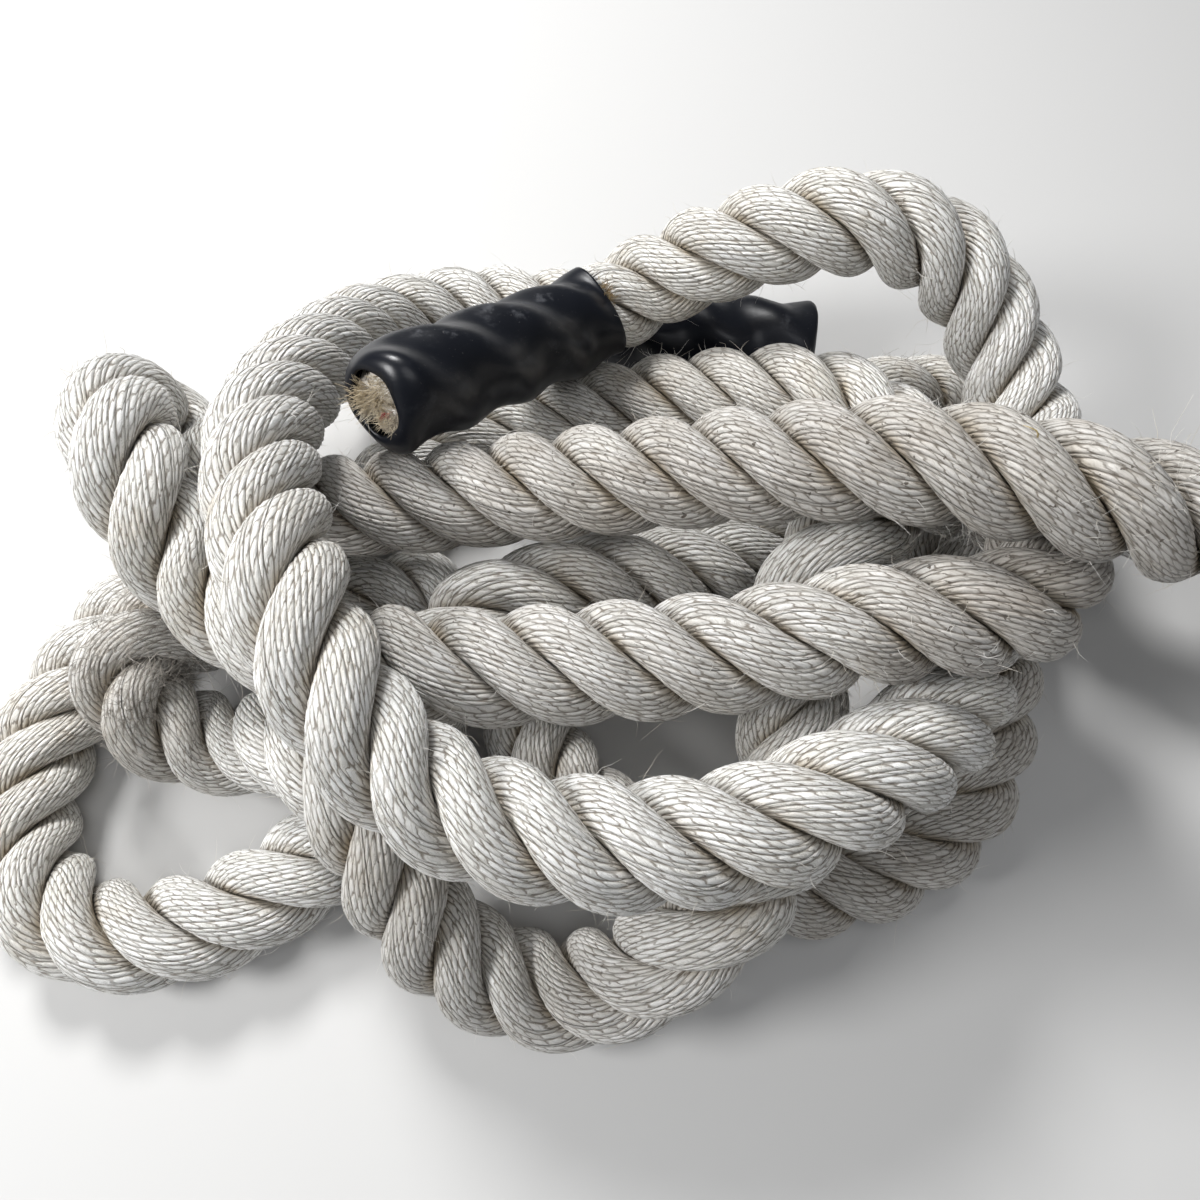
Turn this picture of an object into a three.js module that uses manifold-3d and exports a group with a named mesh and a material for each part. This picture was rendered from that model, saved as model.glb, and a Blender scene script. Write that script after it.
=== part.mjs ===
// A thick three-strand rope lying loosely heaped on a flat surface, with a black shrink sleeve on
// each end. Millimetres, +Z up. The rope is one solid and each sleeve is one solid.
import * as THREE from 'three';
import * as BufferGeometryUtils from 'three/addons/utils/BufferGeometryUtils.js';
import Module from 'manifold-3d';

const ROPE_RADIUS = 18.4;
const ROPE_SIDES = 12;
const ROPE_STEPS = 141;
const FLOOR = 17.5; // height of the rope's centre where it lies on the surface
const OPEN_SLEEVE_STEPS = 4; // sleeve lengths, in steps of the rope
const FAR_SLEEVE_STEPS = 3;
const SLEEVE_SIDES = 24;
const SLEEVE_RADIUS = 20;
const SLEEVE_GAP = 0.3;
const CENTRE = [-37.6, -152.9, 0]; // moves the middle of the footprint to the origin

// Centre line from the open sleeve to the other sleeve's tip.
const ROUTE = [
  [-75.5, 183.5, 110], [-43, 219, 86], [-5, 259, 61], [20, 273, 66], [52, 272.5, 88], [96, 270, 103],
  [134, 263, 91], [157, 241, 70], [167, 213, 58], [172, 184, 60], [205, 166, 68], [244, 173, 78],
  [276, 164, 90], [289, 135, 103], [270, 104, 114], [230, 103, 122], [184, 126, 128], [140, 136, 135],
  [98, 150, 129], [38, 161, 106], [-20, 166, 86], [-75, 169, 69.5], [-121, 175.5, 56.5],
  [-152, 190, 54], [-164, 202, 55], [-172, 208, 65], [-175, 204, 80], [-170, 191, 93], [-162, 174, 98],
  [-154, 156, 92], [-142, 139, 78], [-115, 117, 73], [-80, 104, 80], [-40, 98.5, 89.5], [42, 101, 97],
  [82, 108, 103], [113, 110, 105], [137, 117, 99], [147, 139, 94], [140, 160, 90], [119, 169, 86],
  [98, 161, 81], [76, 138, 74], [68, 112, 60], [66, 80, 53], [61, 55, 55], [47, 37, 60], [27, 19, 50],
  [7, 8, 30], [-17, 4, 19], [-42, 11, 23], [-61, 27, 38], [-71, 46, 54], [-83, 67, 60], [-104, 85, 46],
  [-127, 91, 25], [-149, 91, 21], [-166, 97, 33], [-175, 114, 44], [-164, 130, 45], [-145, 137, 32],
  [-116, 143, FLOOR], [-80, 155, FLOOR], [-45, 140, FLOOR], [-30, 110, FLOOR], [-19, 82, FLOOR],
  [8, 57, FLOOR], [50, 40, FLOOR], [97, 45, FLOOR], [131, 66, FLOOR], [149, 99, FLOOR],
  [158, 139, FLOOR], [170, 180, FLOOR], [172, 226, FLOOR], [153, 250, FLOOR], [122, 249, FLOOR],
  [102, 232, FLOOR], [86, 200, FLOOR], [62, 172, 22], [28, 154, 38], [-12, 141, 54], [-42, 128, 60],
  [-63, 110, 44], [-70, 90, 22], [-78, 68, FLOOR], [-101, 50, FLOOR], [-140, 27, FLOOR],
  [-180, 24, FLOOR], [-210, 46, FLOOR], [-214, 86, FLOOR], [-202, 122, FLOOR], [-184, 151, FLOOR],
  [-161, 169, FLOOR], [-132, 180, FLOOR], [-104, 195, FLOOR], [-78, 214, FLOOR], [-45, 231, 21],
  [0, 237, 29], [50, 233, 45], [92, 223, 57], [117, 205, 55], [130, 181, 47], [134, 154, 47],
  [131, 126, 54], [121, 97, 65], [100, 76, 81], [70, 57, 94], [30, 43.5, 97], [-15, 43.5, 99],
  [-52, 57, 104], [-76, 82, 115], [-92, 112, 119], [-105, 144, 110], [-114, 174, 101], [-116, 204, 85],
  [-110, 244, 60], [-96, 279, 34], [-64, 298, 21], [-20, 297, 19.8], [40, 284, 20], [97, 278, 20],
];

const wasm = await Module();
wasm.setup();

function ropeCurve() {
  const points = ROUTE.map(([x, y, z]) => new THREE.Vector3(x, y, z));
  const curve = new THREE.CatmullRomCurve3(points, false, 'centripetal');
  curve.arcLengthDivisions = 4000;
  return curve;
}

// A stretch of a longer curve, measured along its length from 0 to 1.
class Stretch extends THREE.Curve {
  constructor(whole, start, end) {
    super();
    this.whole = whole;
    this.start = start;
    this.end = end;
    this.arcLengthDivisions = 600;
  }

  getPoint(t, target = new THREE.Vector3()) {
    return target.copy(this.whole.getPointAt(this.start + (this.end - this.start) * t));
  }
}

function polygon(radius, sides) {
  const corners = [];
  for (let i = 0; i < sides; i += 1) {
    const angle = (2 * Math.PI * i) / sides;
    corners.push(new THREE.Vector2(radius * Math.cos(angle), radius * Math.sin(angle)));
  }
  return corners;
}

function sweep(shape, path, steps) {
  return new THREE.ExtrudeGeometry(shape, { steps, bevelEnabled: false, extrudePath: path });
}

function toManifold(geometry) {
  geometry.deleteAttribute('normal');
  geometry.deleteAttribute('uv');
  const joined = BufferGeometryUtils.mergeVertices(geometry, 1e-4);
  const solid = new wasm.Mesh({
    numProp: 3,
    vertProperties: new Float32Array(joined.attributes.position.array),
    triVerts: new Uint32Array(joined.index.array),
  });
  return new wasm.Manifold(solid);
}

function toGeometry(solid) {
  const mesh = solid.getMesh();
  const geometry = new THREE.BufferGeometry();
  geometry.setAttribute('position', new THREE.BufferAttribute(new Float32Array(mesh.vertProperties), 3));
  geometry.setIndex(new THREE.BufferAttribute(new Uint32Array(mesh.triVerts), 1));
  const flat = geometry.toNonIndexed();
  flat.computeVertexNormals();
  return flat;
}

// Everything below the surface is cut away, which leaves flat places for the heap to lie on.
function restOnSurface(geometry) {
  const below = new THREE.BoxGeometry(900, 900, 60);
  below.translate(-CENTRE[0], -CENTRE[1], -30);
  return toGeometry(toManifold(geometry).subtract(toManifold(below)));
}

function ropeGeometry(curve) {
  const shape = new THREE.Shape(polygon(ROPE_RADIUS, ROPE_SIDES));
  return restOnSurface(sweep(shape, new Stretch(curve, 0, 1), ROPE_STEPS));
}

function sleeveGeometry(curve, firstStep, steps) {
  const bore = (ROPE_RADIUS + SLEEVE_GAP) / Math.cos(Math.PI / SLEEVE_SIDES);
  const shape = new THREE.Shape(polygon(SLEEVE_RADIUS, SLEEVE_SIDES));
  shape.holes.push(new THREE.Path(polygon(bore, SLEEVE_SIDES)));
  const start = firstStep / ROPE_STEPS;
  const end = (firstStep + steps) / ROPE_STEPS;
  return restOnSurface(sweep(shape, new Stretch(curve, start, end), steps));
}

function part(name, geometry, color, roughness) {
  const material = new THREE.MeshStandardMaterial({ name, color, roughness });
  const mesh = new THREE.Mesh(geometry, material);
  mesh.name = name;
  mesh.geometry.translate(...CENTRE);
  return mesh;
}

const curve = ropeCurve();
const group = new THREE.Group();
group.name = 'coiled_rope';
group.add(part('rope', ropeGeometry(curve), 0xdcd6c8, 0.8));
group.add(part('open_end_sleeve', sleeveGeometry(curve, 0, OPEN_SLEEVE_STEPS), 0x14161c, 0.3));
const farStart = ROPE_STEPS - FAR_SLEEVE_STEPS;
group.add(part('far_end_sleeve', sleeveGeometry(curve, farStart, FAR_SLEEVE_STEPS), 0x15171c, 0.3));

export default group;
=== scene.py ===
import math

import bpy
import numpy as np
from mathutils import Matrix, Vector


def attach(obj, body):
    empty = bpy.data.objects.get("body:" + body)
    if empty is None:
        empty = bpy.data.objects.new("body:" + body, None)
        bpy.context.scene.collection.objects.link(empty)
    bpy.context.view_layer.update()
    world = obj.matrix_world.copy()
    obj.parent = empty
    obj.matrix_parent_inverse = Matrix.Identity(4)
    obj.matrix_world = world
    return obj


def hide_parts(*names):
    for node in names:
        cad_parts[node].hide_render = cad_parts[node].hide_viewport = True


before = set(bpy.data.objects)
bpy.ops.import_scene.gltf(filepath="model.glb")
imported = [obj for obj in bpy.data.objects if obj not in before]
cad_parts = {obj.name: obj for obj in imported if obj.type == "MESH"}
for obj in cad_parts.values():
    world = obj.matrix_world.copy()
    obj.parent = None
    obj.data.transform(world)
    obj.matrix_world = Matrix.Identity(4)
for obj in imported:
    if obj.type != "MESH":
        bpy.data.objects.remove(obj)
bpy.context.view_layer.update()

# Lengths are in millimetres, and turned into metres where they go into Blender.
MM = 0.001

# ---------------------------------------------------------------------------------------------
# Camera: a wide lens close above the heap, looking down at 67 degrees.

# Where the route's origin lies in the frame, so that the heap is in the middle of the CAD box.
# The camera stands over it.
CENTRE = np.array([-37.6, -152.9, 0.0])
CAMERA_HEIGHT = 374.7
CAMERA_TILT = 23.1  # degrees from straight down

camera_data = bpy.data.cameras.new("camera")
camera_data.lens = 28.5
camera_data.sensor_width = 36.0
camera_data.clip_start = 0.01
camera = bpy.data.objects.new("camera", camera_data)
camera.location = (CENTRE[0] * MM, CENTRE[1] * MM, CAMERA_HEIGHT * MM)
camera.rotation_euler = (math.radians(CAMERA_TILT), 0.0, 0.0)
bpy.context.scene.collection.objects.link(camera)
bpy.context.scene.camera = camera

# ---------------------------------------------------------------------------------------------
# Route of the rope, from the open sleeve's mouth to the far sleeve's tip.

FLOOR = 17.5  # height of the centre line where the rope lies on the floor, a little squashed
ROUTE = [
    (-75.5, 183.5, 110), (-43, 219, 86), (-5, 259, 61), (20, 273, 66), (52, 272.5, 88),
    (96, 270, 103), (134, 263, 91), (157, 241, 70), (167, 213, 58), (172, 184, 60),
    (205, 166, 68), (244, 173, 78), (276, 164, 90), (289, 135, 103), (270, 104, 114),
    (230, 103, 122), (184, 126, 128), (140, 136, 135), (98, 150, 129), (38, 161, 106),
    (-20, 166, 86), (-75, 169, 69.5), (-121, 175.5, 56.5), (-152, 190, 54), (-164, 202, 55),
    (-172, 208, 65), (-175, 204, 80), (-170, 191, 93), (-162, 174, 98), (-154, 156, 92),
    (-142, 139, 78), (-115, 117, 73), (-80, 104, 80), (-40, 98.5, 89.5), (42, 101, 97),
    (82, 108, 103), (113, 110, 105), (137, 117, 99), (147, 139, 94), (140, 160, 90),
    (119, 169, 86), (98, 161, 81), (76, 138, 74), (68, 112, 60), (66, 80, 53), (61, 55, 55),
    (47, 37, 60), (27, 19, 50), (7, 8, 30), (-17, 4, 19), (-42, 11, 23), (-61, 27, 38),
    (-71, 46, 54), (-83, 67, 60), (-104, 85, 46), (-127, 91, 25), (-149, 91, 21),
    (-166, 97, 33), (-175, 114, 44), (-164, 130, 45), (-145, 137, 32), (-116, 143, FLOOR),
    (-80, 155, FLOOR), (-45, 140, FLOOR), (-30, 110, FLOOR), (-19, 82, FLOOR), (8, 57, FLOOR),
    (50, 40, FLOOR), (97, 45, FLOOR), (131, 66, FLOOR), (149, 99, FLOOR), (158, 139, FLOOR),
    (170, 180, FLOOR), (172, 226, FLOOR), (153, 250, FLOOR), (122, 249, FLOOR),
    (102, 232, FLOOR), (86, 200, FLOOR), (62, 172, 22), (28, 154, 38), (-12, 141, 54),
    (-42, 128, 60), (-63, 110, 44), (-70, 90, 22), (-78, 68, FLOOR), (-101, 50, FLOOR),
    (-140, 27, FLOOR), (-180, 24, FLOOR), (-210, 46, FLOOR), (-214, 86, FLOOR),
    (-202, 122, FLOOR), (-184, 151, FLOOR), (-161, 169, FLOOR), (-132, 180, FLOOR),
    (-104, 195, FLOOR), (-78, 214, FLOOR), (-45, 231, 21), (0, 237, 29), (50, 233, 45),
    (92, 223, 57), (117, 205, 55), (130, 181, 47), (134, 154, 47), (131, 126, 54),
    (121, 97, 65), (100, 76, 81), (70, 57, 94), (30, 43.5, 97), (-15, 43.5, 99), (-52, 57, 104),
    (-76, 82, 115), (-92, 112, 119), (-105, 144, 110), (-114, 174, 101), (-116, 204, 85),
    (-110, 244, 60), (-96, 279, 34), (-64, 298, 21), (-20, 297, 19.8), (40, 284, 20),
    (97, 278, 20),
]

# ---------------------------------------------------------------------------------------------
# Sizes of the rope

THIRD = 2 * math.pi / 3
LAY = 74.0  # length along the rope of one full turn of a strand
SLEEVE_LAY = 98.0  # the strands are laid longer inside the sleeves
YARNS = 32  # round one strand
YARN_TURNS = 1.45  # how far round the section the yarns slide in one lay: nearly along the rope
PLY = 5.0  # length along the rope of one grain, where a ply of a yarn shows
CREST = 0.24  # height of a yarn above the section
CREST_VARIES = 0.2
VALLEY = -0.1  # height of the valley between two yarns
CREST_SHIFT = 0.48  # how far a yarn's points may slide along the rope, in ring steps
WANDER = 0.34  # how far a yarn strays to the side, in yarns
GRAIN_RATE = (0.88, 1.14)  # range of the yarns' own numbers of grains, to the usual number
GRAIN_DRIFT = 0.4  # how far the grains of a yarn stray along it, in grains
GROOVE_FROM, GROOVE_TO = 16.2, 12.2  # distances from the rope's centre where grooves turn brown

OPEN_SLEEVE = 119.0
FAR_SLEEVE = 95.0
OPEN_RECESS = 3.0  # from the end of the centre line in to the strands' own end
FAR_RECESS = 9.0
GRIP = 0.075  # how much a sleeve draws the strands in, as a fraction
DEEP_GRIP = 0.06  # and how much more, away from its rim
END_GRIP = 0.34  # and at the rope's ends

CURVE_STEP = 1.0
RING_STEP = 2.8  # between the rings of points that make up a strand
CURVE_BLUR = 7.0  # in curve steps, as is the next
BEND_BLUR = 4.0
LOWEST = 0.15  # nothing is drawn lower than this
BEND_LIMIT = 0.86  # how near to a bend's own centre the section may reach, in radii of the bend
END_FADE = 12.0  # length over which a strand's rings straighten towards its ends
END_DOME = 0.6  # how far the middle of a strand's end stands out

SEED = 20
rng = np.random.default_rng(SEED)


def catmull(points, per=24):
    """Centripetal Catmull-Rom curve through the points."""
    p = np.asarray(points, float)
    p = np.vstack([2 * p[0] - p[1], p, 2 * p[-1] - p[-2]])
    out = []
    for i in range(1, len(p) - 2):
        p0, p1, p2, p3 = p[i - 1 : i + 3]
        d0, d1, d2 = (math.sqrt(np.linalg.norm(b - a)) for a, b in ((p0, p1), (p1, p2), (p2, p3)))
        t1 = ((p1 - p0) / d0 - (p2 - p0) / (d0 + d1) + (p2 - p1) / d1) * d1
        t2 = ((p2 - p1) / d1 - (p3 - p1) / (d1 + d2) + (p3 - p2) / d2) * d1
        t = np.linspace(0, 1, per, endpoint=False)[:, None]
        square = -3 * p1 + 3 * p2 - 2 * t1 - t2
        cube = 2 * p1 - 2 * p2 + t1 + t2
        out.append(p1 + t1 * t + square * t**2 + cube * t**3)
    out.append(p[-2][None])
    return np.vstack(out)


def lengths(c):
    """Length along a line of points, at each of them."""
    return np.r_[0, np.cumsum(np.linalg.norm(np.diff(c, axis=0), axis=1))]


def resample(c, step):
    """The same line in even steps."""
    s = lengths(c)
    q = np.linspace(0, s[-1], int(round(s[-1] / step)) + 1)
    return np.stack([np.interp(q, s, c[:, i]) for i in range(3)], 1)


def blur(e, sigma):
    """Gaussian blur along a line of samples, keeping its ends."""
    k = int(3 * sigma)
    w = np.exp(-0.5 * (np.arange(-k, k + 1) / sigma) ** 2)
    w /= w.sum()
    head = 2 * e[0] - e[1 : k + 1][::-1]
    tail = 2 * e[-1] - e[-k - 1 : -1][::-1]
    pad = np.vstack([head, e, tail])
    return np.stack([np.convolve(pad[:, i], w, "valid") for i in range(3)], 1)


def unit(v):
    return v / np.maximum(np.linalg.norm(v, axis=-1, keepdims=True), 1e-9)


def smoothstep(a, b, x):
    t = np.clip((x - a) / (b - a), 0, 1)
    return t * t * (3 - 2 * t)


class Line:
    """The rope's centre line, with a frame that doesn't twist along it."""

    def __init__(self, points):
        e = resample(catmull(np.asarray(points) + CENTRE), CURVE_STEP)
        self.p = resample(blur(e, CURVE_BLUR), CURVE_STEP)
        self.s = lengths(self.p)
        self.total = self.s[-1]
        self.t = unit(np.gradient(self.p, axis=0))
        bend = np.gradient(blur(self.t, BEND_BLUR), axis=0) / CURVE_STEP
        self.k = bend - self.t * np.sum(bend * self.t, axis=1, keepdims=True)
        n = np.zeros_like(self.p)
        n[0] = unit(np.cross(self.t[0], [0, 0, 1.0]))
        for i in range(1, len(n)):
            v = n[i - 1] - self.t[i] * np.dot(n[i - 1], self.t[i])
            n[i] = v / np.linalg.norm(v)
        self.n = n
        self.b = np.cross(self.t, n)

    def at(self, s):
        """Point, tangent, normal, binormal and bend at lengths s (any shape)."""
        s = np.clip(s, 0, self.total)
        flat = s.ravel()
        out = []
        for a in (self.p, self.t, self.n, self.b, self.k):
            v = np.stack([np.interp(flat, self.s, a[:, i]) for i in range(3)], 1)
            out.append(v.reshape(s.shape + (3,)))
        return out


line = Line(ROUTE)
FAR_SLEEVE_START = line.total - FAR_SLEEVE


def place(s, x, y):
    """Section coordinates (x, y) at lengths s, as points in space. Tight bends are squeezed."""
    p, _, n, b, k = line.at(s)
    offset = n * x[..., None] + b * y[..., None]
    bend = np.linalg.norm(k, axis=-1)
    inward = k / np.maximum(bend, 1e-6)[..., None]
    along = np.sum(offset * inward, axis=-1)
    limit = BEND_LIMIT / np.maximum(bend, 1e-6)
    soft_limit = along / (1 + (np.maximum(along, 0) / limit) ** 4) ** 0.25
    squeezed = np.where(along > 0, soft_limit, along)
    out = p + offset + inward * (squeezed - along)[..., None]
    out[..., 2] = np.maximum(out[..., 2], LOWEST)
    return out


def turn_angle(s):
    """Angle of the lay at length s along the rope."""
    s = np.asarray(s, float)
    hidden = np.minimum(s - OPEN_SLEEVE, 0) + np.maximum(s - FAR_SLEEVE_START, 0)
    return 2 * math.pi * ((s - hidden) / LAY + hidden / SLEEVE_LAY)


def turns_back(s):
    """How far round the section, in turns, the yarns have slid at length s."""
    return -YARN_TURNS * np.asarray(s) / LAY


def sleeve_squeeze(s):
    """Scale of the strands along the rope: drawn in where a sleeve grips them, and at the ends."""
    inside = smoothstep(OPEN_SLEEVE + 9, OPEN_SLEEVE - 4, s)
    inside = inside + smoothstep(FAR_SLEEVE_START - 9, FAR_SLEEVE_START + 4, s)
    deep = smoothstep(OPEN_SLEEVE - 8, OPEN_SLEEVE - 30, s)
    deep = deep + smoothstep(FAR_SLEEVE_START + 8, FAR_SLEEVE_START + 30, s)
    gathered = smoothstep(13, 2, s) + smoothstep(line.total - 16, line.total - 8, s)
    return (1 - GRIP * inside) * (1 - DEEP_GRIP * deep) * (1 - END_GRIP * gathered)


# ---------------------------------------------------------------------------------------------
# Section of one strand, in the plane across the rope: a rounded wedge that fills a third.

STRAND_CENTRE = 9.9  # from the rope's centre
STRAND_RADIAL = 9.3  # half-sizes of the ellipse that the wedge is cut from
STRAND_ACROSS = 11.3
WALL_GAP = 0.1  # half the gap between two strands
WEDGE_POWER = 9.0  # sharpness of the wedge's corners


def strand_section(count=720):
    """Points and outward normals round one strand, evenly spaced, x outwards from the rope."""
    phi = np.linspace(0, 2 * math.pi, 4 * count, endpoint=False)
    c, s = np.cos(phi), np.sin(phi)
    ellipse = 1 / np.sqrt((c / STRAND_RADIAL) ** 2 + (s / STRAND_ACROSS) ** 2)
    wall = STRAND_CENTRE * math.sin(math.radians(60)) - WALL_GAP
    total = ellipse**-WEDGE_POWER
    for side in (150, -150):
        facing = np.maximum(np.cos(phi - math.radians(side)), 1e-3)
        total += (wall / facing) ** -WEDGE_POWER
    r = total ** (-1 / WEDGE_POWER)
    x, y = STRAND_CENTRE + r * c, r * s
    step = np.hypot(np.diff(np.r_[x, x[0]]), np.diff(np.r_[y, y[0]]))
    length = np.r_[0, np.cumsum(step)]
    q = np.linspace(0, length[-1], count, endpoint=False)
    xs = np.interp(q, length, np.r_[x, x[0]])
    ys = np.interp(q, length, np.r_[y, y[0]])
    tx = np.roll(xs, -1) - np.roll(xs, 1)
    ty = np.roll(ys, -1) - np.roll(ys, 1)
    size = np.hypot(tx, ty)
    return np.stack([xs, ys], 1), np.stack([ty / size, -tx / size], 1)


SECTION, SECTION_NORMAL = strand_section()


def look_up(table, w):
    """Values of a closed table at fractions w of the way round it."""
    n = len(table)
    f = (w % 1.0) * n
    i = np.floor(f).astype(int) % n
    k = (f - np.floor(f))[..., None]
    return table[i] * (1 - k) + table[(i + 1) % n] * k


def slow_noise(rows, columns, spacing, seed):
    """Smooth noise about -1 to 1 along each column, with its own values in each column."""
    r = np.random.default_rng(seed)
    knots = int(rows / spacing) + 3
    values = r.uniform(-1, 1, (knots, columns))
    x = np.arange(rows) / spacing + r.uniform(0, 0.999, (columns, 1)).repeat(rows, 1)
    i = np.floor(x).astype(int)
    f = x - i
    f = f * f * (3 - 2 * f)
    c = np.arange(columns)[:, None]
    return (values[i, c] * (1 - f) + values[i + 1, c] * f).T


# Extra grey along the rope, dirt on some stretches and painted shade on others: (from, to, amount),
# by length.
GREY = [
    (560, 960, 0.68),
    (1190, 1370, 0.42),
    (1370, 1500, 0.8),
    # Painted shade: a low loop that lies in shadow.
    (1690, 1860, 0.4),
    (1940, 2020, 0.45),
    # Painted shade: a low loop that lies in shadow.
    (2200, 2480, 0.55),
    (2500, 2580, 0.3),
    (2580, 2700, 0.1),
    (2740, 2860, 0.25),
    (3380, 3470, 0.4),
]
GREY_FADE = 30


def grey_at(s):
    g = np.zeros_like(s)
    for start, end, amount in GREY:
        rise = smoothstep(start - GREY_FADE, start + GREY_FADE, s)
        fall = smoothstep(end + GREY_FADE, end - GREY_FADE, s)
        g = np.maximum(g, amount * rise * fall)
    return g


# ---------------------------------------------------------------------------------------------
# Strands


def strand_surface(which, s, w, lift):
    """Points on a strand at lengths s, fractions w round its section and heights lift.

    Also gives their places in the strand's own section.
    """
    q = look_up(SECTION, w)
    n = look_up(SECTION_NORMAL, w)
    # Two slow waves, so that the strands aren't all of one thickness.
    swell = 1 + 0.012 * np.sin(s / 41.0 + which * 2.1) + 0.01 * np.sin(s / 17.3 + which)
    q = q * (sleeve_squeeze(s) * swell)[..., None]
    q = q + n * lift[..., None]
    angle = turn_angle(s) + which * THIRD
    x = q[..., 0] * np.cos(angle) - q[..., 1] * np.sin(angle)
    y = q[..., 0] * np.sin(angle) + q[..., 1] * np.cos(angle)
    return place(s, x, y), q


def new_mesh(name, verts, faces, skin):
    mesh = bpy.data.meshes.new(name)
    mesh.from_pydata((np.asarray(verts) * MM).tolist(), [], faces)
    mesh.materials.append(skin)
    mesh.polygons.foreach_set("use_smooth", [True] * len(mesh.polygons))
    obj = bpy.data.objects.new(name, mesh)
    bpy.context.scene.collection.objects.link(obj)
    return obj


def point_attribute(mesh, name, values):
    a = mesh.attributes.new(name, "FLOAT", "POINT")
    a.data.foreach_set("value", np.asarray(values, np.float32).ravel())


def close_ends(points):
    """Points and faces that close a strand's two ends: an inner ring and a middle at each."""
    rings, columns = points.shape[:2]
    base = rings * columns
    start = points[0].mean(0) - line.t[0] * END_DOME
    end = points[-1].mean(0) + line.t[-1] * END_DOME
    inner_start = points[0] * 0.45 + start * 0.55
    inner_end = points[-1] * 0.45 + end * 0.55
    faces = []
    for k in range(columns):
        j = (k + 1) % columns
        last_k, last_j = base - columns + k, base - columns + j
        start_k, start_j = base + k, base + j
        end_k, end_j = base + columns + k, base + columns + j
        faces.append([j, k, start_k, start_j])
        faces.append([last_k, last_j, end_j, end_k])
        faces.append([start_j, start_k, base + 2 * columns])
        faces.append([end_k, end_j, base + 2 * columns + 1])
    return np.vstack([inner_start, inner_end, start[None], end[None]]), faces


def carry_grain(mesh, phase, rings, columns):
    """Gives each face its grain's phase, and its yarn's number plus the place across the yarn."""
    each = np.arange(columns)
    left = (each / 2.0)[None, :].repeat(rings, 0)
    at = np.stack([phase(each, each // 2), left], -1)
    at_right = np.stack([phase((each + 1) % columns, each // 2), left + 0.5], -1)
    loops = np.stack([at[:-1], at_right[:-1], at_right[1:], at[1:]], 2).reshape(-1, 2)
    ends = np.tile([0.3, 0.5], (len(mesh.loops) - len(loops), 1))
    uv = mesh.uv_layers.new(name="yarn")
    uv.data.foreach_set("uv", np.vstack([loops, ends]).astype(np.float32).ravel())


def sharpen_valleys(mesh, rings, columns):
    """Marks the valley lines between yarns sharp, so that each yarn is shaded on its own."""
    edges = np.zeros(len(mesh.edges) * 2, int)
    mesh.edges.foreach_get("vertices", edges)
    a, b = edges.reshape(-1, 2).T
    on_rings = (a < rings * columns) & (b < rings * columns)
    in_valley = (a % columns == b % columns) & (a % 2 == 0)
    sharp = mesh.attributes.new("sharp_edge", "BOOLEAN", "EDGE")
    sharp.data.foreach_set("value", on_rings & in_valley & (np.abs(a - b) == columns))


def strand(which, skin):
    """One strand: a closed tube whose edges follow its yarns, a valley and a crest for each."""
    first, last = OPEN_RECESS, line.total - FAR_RECESS
    rings = int(round((last - first) / RING_STEP)) + 1
    columns = 2 * YARNS
    even = np.linspace(first, last, rings)[:, None]
    crest = rng.uniform(-CREST_SHIFT, CREST_SHIFT, YARNS) * RING_STEP
    shift = np.zeros((rings, columns))
    shift[:, 1::2] = crest
    shift[:, 0::2] = 0.5 * (crest + np.roll(crest, 1))
    inside = smoothstep(0, END_FADE, even - first) * smoothstep(0, END_FADE, last - even)
    s = even + shift * inside
    jitter = slow_noise(rings, YARNS, 9, 100 + which)
    wander = slow_noise(rings, YARNS, 13, 200 + which)
    drift = slow_noise(rings, YARNS, 8, 300 + which)
    rate = rng.uniform(*GRAIN_RATE, YARNS)
    offset = rng.uniform(0, 40, YARNS)
    slide = np.repeat(wander, 2, axis=1) * WANDER / YARNS
    w = (np.arange(columns) / columns)[None, :] + slide + turns_back(s)
    lift = np.zeros((rings, columns))
    lift[:, 1::2] = CREST + CREST_VARIES * jitter
    lift[:, 0::2] = VALLEY

    def phase(column, yarn):
        return s[:, column] / PLY * rate[yarn] + offset[yarn] + GRAIN_DRIFT * drift[:, yarn]

    points, q = strand_surface(which, s, w, lift)
    index = np.arange(rings * columns).reshape(rings, columns)
    right = np.roll(index, -1, axis=1)
    quads = np.stack([index[:-1], right[:-1], right[1:], index[1:]], -1).reshape(-1, 4)
    end_points, end_faces = close_ends(points)
    verts = np.vstack([points.reshape(-1, 3), end_points])
    obj = new_mesh(f"strand_{'abc'[which]}", verts, quads.tolist() + end_faces, skin)
    spare = len(end_points)
    groove = smoothstep(GROOVE_FROM, GROOVE_TO, np.hypot(q[..., 0], q[..., 1]))
    grey = np.broadcast_to(grey_at(even), (rings, columns))
    point_attribute(obj.data, "groove", np.r_[groove.ravel(), np.full(spare, 0.3)])
    point_attribute(obj.data, "grey", np.r_[grey.ravel(), np.full(spare, 0.0)])
    carry_grain(obj.data, phase, rings, columns)
    sharpen_valleys(obj.data, rings, columns)
    return obj


# ---------------------------------------------------------------------------------------------
# Materials


def material(name):
    m = bpy.data.materials.new(name)
    m.use_nodes = True
    nodes = m.node_tree.nodes
    nodes.clear()
    out = nodes.new("ShaderNodeOutputMaterial")
    shader = nodes.new("ShaderNodeBsdfPrincipled")
    m.node_tree.links.new(shader.outputs["BSDF"], out.inputs["Surface"])
    return m, shader


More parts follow.
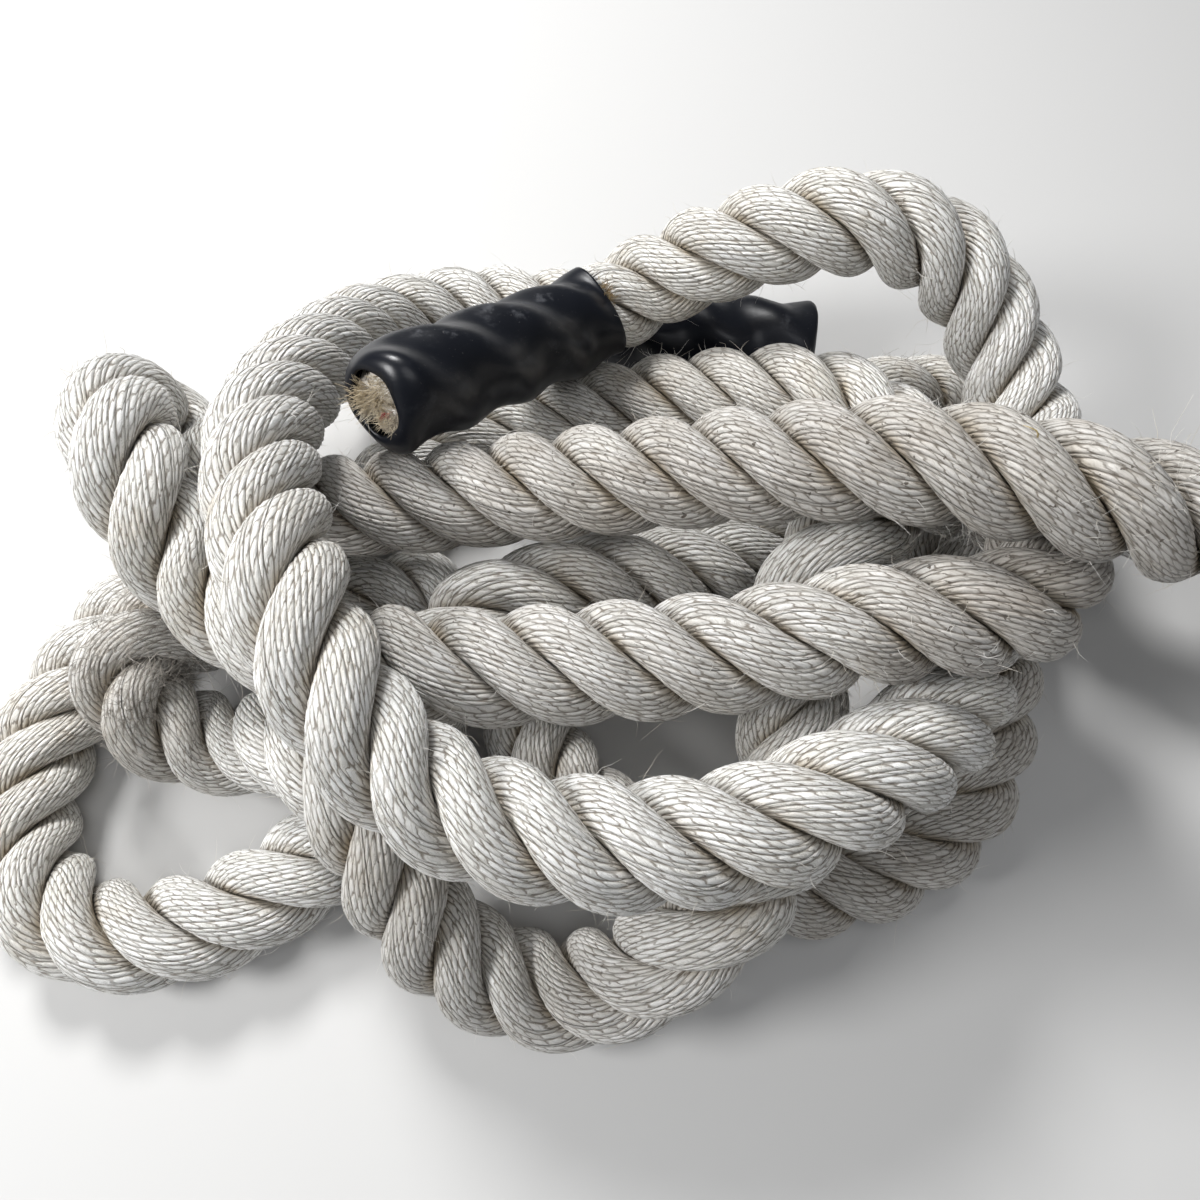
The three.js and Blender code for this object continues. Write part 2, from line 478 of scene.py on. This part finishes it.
FLOOR_COLOUR = (0.6, 0.595, 0.585, 1.0)
SKY = (0.9, 0.94, 1.0, 1.0)
GRAIN_DARK, GRAIN_LIGHT = (0.70, 0.685, 0.64), (0.96, 0.955, 0.935)
YELLOWED = (0.78, 0.735, 0.64)
# Near-white for the painted sheen along the filaments.
FILAMENT_SHEEN = (0.98, 0.975, 0.96)
STAIN = (0.52, 0.43, 0.30)
# Warm grey for dirty stretches and for painted shade on the low loops.
DIRT_AND_SHADE = (0.36, 0.32, 0.275)
GROOVE_BROWN = (0.42, 0.335, 0.215)
HAIR_SHADE = (0.76, 0.75, 0.735)
CREASE_SHADE = (0.31, 0.275, 0.235)
GRIT = (0.10, 0.08, 0.06)
SLEEVE_BLACK = (0.0035, 0.0045, 0.008)
SLEEVE_WORN = (0.12, 0.125, 0.14)
SLEEVE_DUST = (0.26, 0.25, 0.24)


def is_socket(value):
    return hasattr(value, "is_linked")


class Graph:
    """Short names for making and joining nodes."""

    def __init__(self, m):
        self.tree = m.node_tree

    def node(self, kind, **settings):
        n = self.tree.nodes.new(kind)
        for key, value in settings.items():
            setattr(n, key, value)
        return n

    def feed(self, value, socket):
        if is_socket(value):
            self.tree.links.new(value, socket)
        else:
            socket.default_value = value

    def math(self, operation, a, b=0.0, clamp=False):
        n = self.node("ShaderNodeMath", operation=operation, use_clamp=clamp)
        self.feed(a, n.inputs[0])
        self.feed(b, n.inputs[1])
        return n.outputs[0]

    def plus(self, a, b):
        return self.math("ADD", a, b)

    def minus(self, a, b):
        return self.math("SUBTRACT", a, b)

    def times(self, a, b):
        return self.math("MULTIPLY", a, b)

    def ramp(self, value, low, high, to_low=0.0, to_high=1.0):
        n = self.node("ShaderNodeMapRange", interpolation_type="SMOOTHSTEP")
        self.feed(value, n.inputs["Value"])
        n.inputs["From Min"].default_value = low
        n.inputs["From Max"].default_value = high
        n.inputs["To Min"].default_value = to_low
        n.inputs["To Max"].default_value = to_high
        return n.outputs["Result"]

    def noise(self, vector, scale, detail=3.0, roughness=0.5):
        n = self.node("ShaderNodeTexNoise")
        self.feed(vector, n.inputs["Vector"])
        n.inputs["Scale"].default_value = scale
        n.inputs["Detail"].default_value = detail
        n.inputs["Roughness"].default_value = roughness
        return n.outputs["Fac"]

    def mix(self, factor, a, b, blend="MIX"):
        n = self.node("ShaderNodeMix", data_type="RGBA", blend_type=blend)
        self.feed(factor, n.inputs["Factor"])
        self.feed(a if is_socket(a) else (*a, 1.0), n.inputs[6])
        self.feed(b if is_socket(b) else (*b, 1.0), n.inputs[7])
        return n.outputs[2]

    def darken(self, keep, colour, tint):
        """The colour times the tint, except where keep is 1."""
        return self.mix(keep, self.mix(1.0, colour, tint, "MULTIPLY"), colour)

    def vector(self, x, y, z=0.0):
        n = self.node("ShaderNodeCombineXYZ")
        for i, value in enumerate((x, y, z)):
            self.feed(value, n.inputs[i])
        return n.outputs[0]

    def attribute(self, name):
        return self.node("ShaderNodeAttribute", attribute_name=name).outputs["Fac"]

    def place(self):
        return self.node("ShaderNodeTexCoord").outputs["Object"]

    def bump(self, height, strength, distance, shader):
        n = self.node("ShaderNodeBump")
        n.inputs["Strength"].default_value = strength
        n.inputs["Distance"].default_value = distance * MM
        self.feed(height, n.inputs["Height"])
        self.feed(n.outputs[0], shader.inputs["Normal"])


def grain_nodes(g, which):
    """Grains of the yarns, slanted across each, where a ply comes up.

    Gives each grain's own random value, its height, its fullness, which is 0 in the creases
    between grains, and the filaments along it.
    """
    split = g.node("ShaderNodeSeparateXYZ")
    g.feed(g.node("ShaderNodeUVMap", uv_map="yarn").outputs[0], split.inputs[0])
    phase, yarn_and_across = split.outputs[0], split.outputs[1]
    yarn = g.math("FLOOR", yarn_and_across)
    across = g.math("FRACT", yarn_and_across)
    ident = g.plus(yarn, 37.0 * which)
    ruffle = g.noise(g.vector(g.times(phase, 1.3), g.times(yarn_and_across, 2.1), ident), 1.0, 2.0)
    bent = g.plus(phase, g.times(g.minus(ruffle, 0.5), 0.9))
    skew = g.minus(bent, g.times(across, 0.85))
    within = g.math("FRACT", skew)
    number = g.math("FLOOR", skew)
    ply = g.math("SINE", g.times(within, math.pi))
    sway = g.noise(g.vector(g.times(phase, 0.8), yarn, ident), 1.0, 1.0)
    off = g.minus(g.times(across, 2.0), g.plus(g.times(sway, 0.7), 0.65))
    off = g.math("MINIMUM", g.math("ABSOLUTE", off), 1.0)
    dome = g.minus(1.0, g.times(off, off))
    swell = g.times(g.math("SQRT", ply), g.plus(g.times(dome, 0.4), 0.2))
    height = g.plus(g.times(dome, 0.5), swell)
    white = g.node("ShaderNodeTexWhiteNoise", noise_dimensions="2D")
    g.feed(g.vector(ident, number), white.inputs["Vector"])
    along_ply = g.vector(g.times(across, 0.8), g.times(within, 4.5), g.plus(ident, number))
    hair = g.noise(along_ply, 1.9, 4.0, 0.74)
    return white.outputs["Value"], height, g.times(ply, dome), hair


def rope_material(which):
    """Cream fibre: whiter and yellower in patches, brown in the grooves, painted sheen along the
    filaments, grey on dirty stretches and as painted shade on low loops.
    """
    m, shader = material(f"rope_fibre_{'abc'[which]}")
    g = Graph(m)
    own, height, fullness, hair = grain_nodes(g, which)
    spot = g.place()
    broad = g.noise(spot, 9.0, 3.0, 0.6)
    patch = g.noise(spot, 42.0, 4.0, 0.65)
    blotch = g.noise(spot, 160.0, 3.0, 0.6)
    groove = g.attribute("groove")
    grey = g.attribute("grey")
    colour = g.mix(own, GRAIN_DARK, GRAIN_LIGHT)
    colour = g.mix(g.ramp(broad, 0.42, 0.7, 0.0, 0.5), colour, YELLOWED)
    # Painted sheen: near-white streaks along the filaments, where the satin fibre would glint.
    colour = g.mix(g.times(g.ramp(hair, 0.35, 0.7), 0.4), colour, FILAMENT_SHEEN)
    stain = g.times(g.ramp(patch, 0.5, 0.72), g.ramp(broad, 0.35, 0.65))
    colour = g.mix(g.times(stain, 0.5), colour, STAIN)
    # Grey stretches: dirt, and painted shade on the low loops that lie in shadow.
    dirt_and_shade = g.times(grey, g.ramp(patch, 0.15, 0.7, 0.35, 1.0))
    colour = g.mix(dirt_and_shade, colour, DIRT_AND_SHADE)
    brown = g.times(groove, g.ramp(patch, 0.3, 0.65, 0.2, 0.8))
    colour = g.mix(brown, colour, GROOVE_BROWN)
    colour = g.darken(g.ramp(hair, 0.28, 0.58), colour, HAIR_SHADE)
    faint_crease = g.ramp(blotch, 0.42, 0.7, 0.0, 0.5)
    out_of_crease = g.math("MAXIMUM", g.ramp(fullness, 0.0, 0.42), faint_crease)
    colour = g.darken(out_of_crease, colour, CREASE_SHADE)
    speck = g.times(g.ramp(g.noise(spot, 420.0, 2.0), 0.68, 0.74), g.plus(grey, 0.05))
    colour = g.mix(g.math("MULTIPLY", speck, 1.6, clamp=True), colour, GRIT)
    g.feed(colour, shader.inputs["Base Color"])
    rough = g.plus(g.ramp(hair, 0.3, 0.7, 0.24, 0.44), g.times(grey, 0.2))
    g.feed(rough, shader.inputs["Roughness"])
    shader.inputs["Specular IOR Level"].default_value = 0.95
    shader.inputs["Sheen Weight"].default_value = 0.1
    shader.inputs["Sheen Roughness"].default_value = 0.4
    g.bump(g.plus(height, g.times(hair, 0.62)), 1.0, 0.58, shader)
    return m


def fibre_material(name, dark, light):
    m, shader = material(name)
    g = Graph(m)
    tone = g.noise(g.place(), 60.0, 2.0)
    g.feed(g.mix(g.ramp(tone, 0.35, 0.65), dark, light), shader.inputs["Base Color"])
    shader.inputs["Roughness"].default_value = 0.5
    return m


def sleeve_material(name, dust):
    """Black shrink tube, with scuffs as strong as dust says, specks and faint lines along it."""
    m, shader = material(name)
    g = Graph(m)
    spot = g.place()
    scuff = g.noise(spot, 120.0, 5.0, 0.7)
    broad = g.noise(spot, 22.0, 3.0, 0.55)
    stretch = g.node("ShaderNodeMapping")
    g.feed(spot, stretch.inputs[0])
    stretch.inputs["Scale"].default_value = (40.0, 260.0, 120.0)
    lines = g.noise(stretch.outputs[0], 1.0, 4.0, 0.6)
    worn = g.times(g.ramp(scuff, 0.52, 0.72), g.ramp(broad, 0.42, 0.62))
    colour = g.mix(g.times(worn, dust), SLEEVE_BLACK, SLEEVE_WORN)
    grit = g.ramp(g.noise(spot, 900.0, 3.0), 0.68, 0.74)
    speck = g.times(grit, g.ramp(broad, 0.4, 0.7, 0.1, 0.7))
    colour = g.mix(g.times(speck, 0.5), colour, SLEEVE_DUST)
    g.feed(colour, shader.inputs["Base Color"])
    rough = g.plus(g.ramp(broad, 0.35, 0.7, 0.3, 0.44), g.times(worn, 0.3))
    g.feed(rough, shader.inputs["Roughness"])
    shader.inputs["Specular IOR Level"].default_value = 0.34
    g.bump(g.plus(g.times(lines, 0.5), g.times(scuff, 0.35)), 0.35, 0.4, shader)
    return m


# ---------------------------------------------------------------------------------------------
# Rope

rope_materials = [rope_material(i) for i in range(3)]
strands = [strand(i, rope_materials[i]) for i in range(3)]

# ---------------------------------------------------------------------------------------------
# Sleeves: shrunk on, so they follow the strands' bulges in a softened way.

SLEEVE_RADIUS = 17.35
SLEEVE_BULGE = 2.6
SLEEVE_WALL = 0.95
SLEEVE_COLUMNS = 120
SLEEVE_STEP = 1.1
SLEEVE_END = 0.6  # from the sleeve's mouth to the end of the centre line


def sleeve(name, first, last, skin, opens_first, depth, mouth_radius):
    """A shrunk tube. Over its last few millimetres, depth, it curls in to its mouth.

    The mouth is at the rope's own end, which is the first one or the last one.
    """
    rings = int(round((last - first) / SLEEVE_STEP)) + 1
    t = np.linspace(0, 1, rings)
    t = t**1.25 if opens_first else 1 - (1 - t) ** 1.25
    s = (first + (last - first) * t)[:, None].repeat(SLEEVE_COLUMNS, 1)
    around = np.arange(SLEEVE_COLUMNS) / SLEEVE_COLUMNS * 2 * math.pi
    around = around[None, :].repeat(rings, 0)

    from_mouth, from_rim = (s - first, last - s) if opens_first else (last - s, s - first)
    bulge = 0.5 + 0.5 * np.cos(3 * (around - turn_angle(s) - 0.15))
    wrinkle = 0.12 * np.sin(s / 3.1 + 4 * around) * np.sin(s / 7.7 - 2 * around)
    full = SLEEVE_RADIUS + SLEEVE_BULGE * bulge + wrinkle
    full = full + 0.3 * smoothstep(4.0, 0.0, from_rim)
    curl = np.sqrt(np.clip(1 - (1 - np.clip(from_mouth / depth, 0, 1)) ** 2, 0, 1))
    mouth = mouth_radius + 0.7 * np.sin(around * 2 + 0.6) + 0.35 * np.sin(around * 5 + 2)

    outer_r = mouth + (full - mouth) * curl
    inner_r = np.maximum(outer_r - SLEEVE_WALL, mouth - 0.5)
    inner_s = s + (1 - curl) * SLEEVE_WALL * (1 if opens_first else -1)
    outer = place(s, outer_r * np.cos(around), outer_r * np.sin(around))
    inner = place(inner_s, inner_r * np.cos(around), inner_r * np.sin(around))
    inner[..., 2] = np.maximum(inner[..., 2], LOWEST + 0.6)

    count = rings * SLEEVE_COLUMNS
    a = np.arange(count).reshape(rings, SLEEVE_COLUMNS)
    r = np.roll(a, -1, axis=1)
    out_faces = np.stack([a[:-1], r[:-1], r[1:], a[1:]], -1).reshape(-1, 4)
    in_faces = np.stack([a[:-1], a[1:], r[1:], r[:-1]], -1).reshape(-1, 4) + count
    first_rim = np.stack([a[0], a[0] + count, r[0] + count, r[0]], -1)
    last_rim = np.stack([a[-1], r[-1], r[-1] + count, a[-1] + count], -1)
    verts = np.vstack([outer.reshape(-1, 3), inner.reshape(-1, 3)])
    faces = np.vstack([out_faces, in_faces, first_rim, last_rim]).tolist()
    return new_mesh(name, verts, faces, skin)


open_sleeve = sleeve(
    "open_end_sleeve_skin",
    SLEEVE_END,
    OPEN_SLEEVE,
    sleeve_material("open_end_sleeve", 0.5),
    opens_first=True,
    depth=8.5,
    mouth_radius=11.2,
)
far_sleeve = sleeve(
    "far_end_sleeve_skin",
    FAR_SLEEVE_START,
    line.total - SLEEVE_END,
    sleeve_material("far_end_sleeve", 0.25),
    opens_first=False,
    depth=4.0,
    mouth_radius=16.0,
)

# ---------------------------------------------------------------------------------------------
# Stray fibres

FIBRE_LOWEST = 0.25
FIBRE_SIDES = 3
FIBRE_SEGMENTS = 4


def fibres(name, starts, ways, reach, curl, radius, skin, seed, segments=FIBRE_SEGMENTS):
    """Thin three-sided tapering hairs from starts, heading along ways and curling."""
    r = np.random.default_rng(seed)
    n = len(starts)
    t = np.linspace(0, 1, segments + 1)
    bend = r.normal(size=(n, 3)) * curl
    wave = r.normal(size=(n, 3)) * curl * 0.6
    path = starts[:, None] + ways[:, None] * (reach[:, None] * t)[..., None]
    path = path + bend[:, None] * (reach[:, None] * t**2)[..., None]
    path = path + wave[:, None] * (reach[:, None] * np.sin(t * 5.0) * t * 0.5)[..., None]
    path[..., 2] = np.maximum(path[..., 2], FIBRE_LOWEST)

    tangent = unit(np.gradient(path, axis=1))
    side = unit(np.cross(tangent, unit(r.normal(size=(n, 1, 3)))))
    up = np.cross(tangent, side)
    taper = (1 - 0.75 * t**1.5)[None, :, None, None]
    angles = np.arange(FIBRE_SIDES) * 2 * math.pi / FIBRE_SIDES
    cos, sin = np.cos(angles)[None, None, :, None], np.sin(angles)[None, None, :, None]
    ring = side[:, :, None] * cos + up[:, :, None] * sin
    verts = path[:, :, None] + ring * radius[:, None, None, None] * taper

    faces = []
    for j in range(0, segments * FIBRE_SIDES, FIBRE_SIDES):
        for k in range(FIBRE_SIDES):
            m = (k + 1) % FIBRE_SIDES
            faces.append([j + k, j + m, j + FIBRE_SIDES + m, j + FIBRE_SIDES + k])
    per = (segments + 1) * FIBRE_SIDES
    caps = [[2, 1, 0], [per - 3, per - 2, per - 1]]
    first = (np.arange(n) * per)[:, None, None]
    quads = (np.array(faces)[None] + first).reshape(-1, 4)
    ends = (np.array(caps)[None] + first).reshape(-1, 3)
    return new_mesh(name, verts.reshape(-1, 3), quads.tolist() + ends.tolist(), skin)


def scatter(count, seed, first=OPEN_SLEEVE + 4, last=FAR_SLEEVE_START - 4):
    """Random places on the outside of the strands: points, and directions out and along.

    Also gives the generator, for more draws.
    """
    r = np.random.default_rng(seed)
    s = r.uniform(first, last, count)
    which = r.integers(0, 3, count)
    w = r.uniform(-0.27, 0.27, count)
    here = np.empty((count, 3))
    ahead = np.empty((count, 3))
    for i in range(3):
        m = which == i
        flat = np.zeros(m.sum())
        here[m] = strand_surface(i, s[m], w[m], flat)[0]
        ahead[m] = strand_surface(i, s[m] + 2.0, w[m] - 0.055, flat)[0]
    return here, unit(here - line.at(s)[0]), unit(ahead - here), r


fuzz_skin = fibre_material("stray_fibre", (0.58, 0.53, 0.45), (0.84, 0.82, 0.78))
cut_skin = fibre_material("cut_fibre", (0.42, 0.34, 0.22), (0.80, 0.73, 0.60))
dusty_skin = fibre_material("dusty_fibre", (0.20, 0.18, 0.155), (0.52, 0.48, 0.43))
brown_skin = fibre_material("brown_fibre", (0.13, 0.075, 0.03), (0.42, 0.30, 0.14))
red_skin = fibre_material("red_fibre", (0.30, 0.03, 0.03), (0.55, 0.10, 0.09))
straw_skin = fibre_material("straw", (0.50, 0.38, 0.16), (0.66, 0.52, 0.26))


def general_fuzz():
    """Single hairs all along the rope, a few of them long."""
    count = 5200
    here, out, along, r = scatter(count, 31)
    sign = r.choice([-1.0, 1.0], count)[:, None]
    lift = r.uniform(0.15, 0.9, (count, 1))
    ways = unit(out * lift + along * sign + r.normal(size=(count, 3)) * 0.35)
    reach = r.uniform(2.5, 8.0, count) * (1 + 0.9 * (r.uniform(size=count) > 0.93))
    radius = r.uniform(0.05, 0.1, count)
    return fibres("stray_fibres", here, ways, reach, 0.3, radius, fuzz_skin, 32)


# Frayed places: (length along the rope, half-length, facing, number of fibres, longest fibre)
FRAYED = [
    (1490, 22, (0.2, -1, 0.5), 150, 7.0),
    (1395, 26, (0.2, -1, 0.4), 90, 6.0),
    (1365, 8, (0, -1, 0.5), 40, 6.0),
    (668, 14, (-0.2, 1, 0.8), 80, 8.0),
    (690, 10, (0, -1, 0.6), 40, 6.0),
    (1050, 22, (-1, 0.3, 0.6), 120, 6.0),
    (2770, 10, (0, -0.6, 1), 40, 6.0),
    (3440, 12, (0, -1, 0.5), 40, 6.0),
    (900, 40, (0, 1, 0.6), 120, 6.0),
    (780, 60, (0, 1, 0.6), 140, 6.0),
    (3400, 50, (0, 1, 0.6), 120, 6.0),
]
# The same, for greyer fibres.
DUSTY = [
    (1985, 28, (-0.5, 0.1, 1), 420, 6.0),
    (1998, 26, (0.8, 0, 0.7), 700, 10.0),
    (2592, 16, (0, 0.6, 1), 90, 5.0),
]


def frayed(name, places, skin, seed):
    """Loose filaments crowded at a few worn places, lifting off the side that faces a given way."""
    starts, ways, reaches = [], [], []
    for i, (middle, half, facing, count, longest) in enumerate(places):
        here, out, along, r = scatter(count * 5, seed + i, middle - half, middle + half)
        facing = unit(np.array(facing, float))
        keep = np.nonzero(out @ facing > 0.35)[0][:count]
        sign = r.choice([-1.0, 1.0], len(keep))[:, None]
        spread = r.normal(size=(len(keep), 3)) * 0.5
        lift = r.uniform(0.3, 1.0, (len(keep), 1))
        starts.append(here[keep])
        ways.append(unit(out[keep] * lift + along[keep] * sign * 0.8 + spread))
        reaches.append(r.uniform(0.35, 1.0, len(keep)) * longest)
    starts, ways, reaches = np.vstack(starts), np.vstack(ways), np.concatenate(reaches)
    radius = np.random.default_rng(seed).uniform(0.06, 0.13, len(starts))
    return fibres(name, starts, ways, reaches, 0.55, radius, skin, seed)


def cut_end():
    """Ends of the three strands' fibres, standing out of the sleeve's open mouth."""
    r = np.random.default_rng(71)
    count = 1500
    strand_radius = 5.2
    strand_centre = 5.8
    which = r.integers(0, 3, count)
    angle = turn_angle(OPEN_RECESS) + which * THIRD
    swing = r.uniform(0, 2 * math.pi, count)
    size = strand_radius * np.sqrt(r.uniform(0, 1, count))
    x = strand_centre * np.cos(angle) + size * np.cos(swing)
    y = strand_centre * np.sin(angle) + size * np.sin(swing)
    starts = place(np.full(count, OPEN_RECESS + 1.5), x, y)
    crown = 1 - (size / strand_radius) ** 2
    ways = unit(-line.t[3] + r.normal(size=(count, 3)) * 0.42)
    reach = 1.6 + 2.6 * crown * r.uniform(0.5, 1.0, count) + (which == 0) * 1.2
    radius = r.uniform(0.1, 0.2, count)
    return fibres("cut_fibres", starts, ways, reach, 0.6, radius, cut_skin, 72, segments=3)


def facing_up(s, radius, lean=0.0):
    """Section coordinates, at length s, of the point that faces up, leaning to one side."""
    _, _, n, b, _ = line.at(np.array([float(s)]))
    up = unit(np.array([lean, 0.0, 1.0]))
    v = np.array([n[0] @ up, b[0] @ up])
    return v / np.linalg.norm(v) * radius


def pinch(name, s, middle, spread, count, reach, radius, skin, seed):
    """A pinch of fibres about one place in the section at length s."""
    r = np.random.default_rng(seed)
    at = np.full(count, float(s))
    x = middle[0] + r.normal(size=count) * spread
    y = middle[1] + r.normal(size=count) * spread
    starts = place(at, x, y)
    ways = unit(starts - line.at(at)[0] + r.normal(size=(count, 3)) * 6)
    reaches = r.uniform(0.5, 1, count) * reach
    return fibres(name, starts, ways, reaches, 0.5, np.full(count, radius), skin, seed)


RIM_AT = OPEN_SLEEVE + 1.5
RED_AT = OPEN_RECESS - 1.5
STRAW_AT = 716
rim_middle = facing_up(RIM_AT, 18.5, 0.5)
red_middle = facing_up(2.0, -5.0, -1.5)
straw_middle = facing_up(STRAW_AT, 19.6)

fuzz = [
    general_fuzz(),
    frayed("frayed_fibres", FRAYED, fuzz_skin, 41),
    frayed("dusty_fibres", DUSTY, dusty_skin, 61),
    cut_end(),
    pinch("rim_fibres", RIM_AT, rim_middle, 2.6, 110, 2.6, 0.12, brown_skin, 81),
    pinch("red_fibres", RED_AT, red_middle, 0.7, 26, 1.6, 0.12, red_skin, 82),
    pinch("straw", STRAW_AT, straw_middle, 0.0, 1, 9.0, 0.35, straw_skin, 83),
]

# ---------------------------------------------------------------------------------------------
# Floor and light

FLOOR_HALF = 3.0  # metres, as are the sizes and places of the lights
NEUTRAL = (1.0, 1.0, 1.0)
SKY_STRENGTH = 0.17
# (name, place, target, diameter, power, colour)
LIGHTS = [
    ("key", (-0.45, 0.72, 0.95), (-0.03, 0, 0.03), 0.34, 14.0, NEUTRAL),
    ("side", (-0.95, -0.2, 0.8), (-0.08, 0, 0.03), 0.4, 11.0, NEUTRAL),
    ("fill", (0.1, -0.3, 1.3), (0, 0, 0.03), 0.8, 3.4, (0.97, 0.98, 1.0)),
]


def stage():
    h = FLOOR_HALF
    mesh = bpy.data.meshes.new("floor")
    mesh.from_pydata([(-h, -h, 0), (h, -h, 0), (h, h, 0), (-h, h, 0)], [], [(0, 1, 2, 3)])
    m, shader = material("floor")
    shader.inputs["Base Color"].default_value = FLOOR_COLOUR
    shader.inputs["Roughness"].default_value = 0.9
    mesh.materials.append(m)
    floor = bpy.data.objects.new("floor", mesh)
    bpy.context.scene.collection.objects.link(floor)


def area_light(name, where, target, size, power, colour):
    data = bpy.data.lights.new(name, "AREA")
    data.shape = "DISK"
    data.size = size
    data.energy = power
    data.color = colour
    light = bpy.data.objects.new(name, data)
    light.location = where
    facing = Vector(target) - Vector(where)
    light.rotation_euler = facing.to_track_quat("-Z", "Y").to_euler()
    bpy.context.scene.collection.objects.link(light)


stage()
bpy.context.scene.view_settings.view_transform = "Standard"
for light in LIGHTS:
    area_light(*light)
world = bpy.data.worlds.new("studio")
world.use_nodes = True
background = world.node_tree.nodes["Background"]
background.inputs["Color"].default_value = SKY
background.inputs["Strength"].default_value = SKY_STRENGTH
bpy.context.scene.world = world

# ---------------------------------------------------------------------------------------------
# What stands for what

for piece in strands + fuzz:
    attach(piece, "root")
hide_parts("rope")
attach(open_sleeve, "root")
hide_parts("open_end_sleeve")
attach(far_sleeve, "root")
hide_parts("far_end_sleeve")

path = line.p[3 : int(line.total) - 8 : 6] * MM
tuple(path[0])
